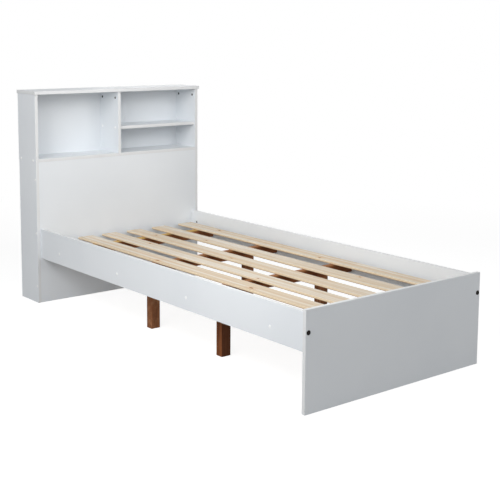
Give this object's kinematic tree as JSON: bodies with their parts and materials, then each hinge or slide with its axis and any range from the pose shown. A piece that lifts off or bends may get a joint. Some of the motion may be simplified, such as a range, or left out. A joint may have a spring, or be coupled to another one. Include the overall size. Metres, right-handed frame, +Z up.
{
  "type": "bookcase headboard bed",
  "caption": "Single bed frame of white boards with a bookcase headboard, low footboard, side rails and lengthwise pine slats on brown cross bearers.",
  "frame": {"origin": "middle of the whole bed's footprint, on the floor", "axes": "+Z up, +Y along the bed towards the headboard, +X across the bed, to the right seen from the foot"},
  "size_m": [0.989, 2.1014, 1.046],
  "materials": {
    "white_board": "satin white facing and edge bands on chipboard",
    "thin_back": "thin white faced hardboard",
    "pine": "bare planed pine",
    "stained_wood": "dark reddish brown stain",
    "beech": "bare beech dowel",
    "zinc_steel": "zinc plated",
    "bronzed_steel": "dark bronze plating",
    "white_plastic": "satin moulded cap"
  },
  "bodies": {
    "root": {"assembly_screws": "zinc_steel", "back_panel_nails": "zinc_steel", "barrel_nuts": "bronzed_steel", "bookcase_back": "thin_back", "bookcase_base": "white_board", "bookcase_divider": "white_board", "bookcase_shelf": "white_board", "cam_locks": "bronzed_steel", "cam_pins": "zinc_steel", "cross_bearer_1": "stained_wood", "cross_bearer_2": "stained_wood", "cross_bearer_3": "stained_wood", "cross_bearer_4": "stained_wood", "footboard": "white_board", "headboard_front_panel": "white_board", "headboard_side_left": "white_board", "headboard_side_right": "white_board", "headboard_top": "white_board", "leg_screws": "zinc_steel", "rail_bolts": "bronzed_steel", "rail_dowels": "beech", "screw_caps": "white_plastic", "side_rail_left": "white_board", "side_rail_right": "white_board", "slat_1": "pine", "slat_2": "pine", "slat_3": "pine", "slat_4": "pine", "slat_5": "pine", "slat_6": "pine", "slat_nails": "zinc_steel", "support_leg_foot_left": "stained_wood", "support_leg_foot_right": "stained_wood", "support_leg_head_left": "stained_wood", "support_leg_head_right": "stained_wood"}
  },
  "joints": []
}
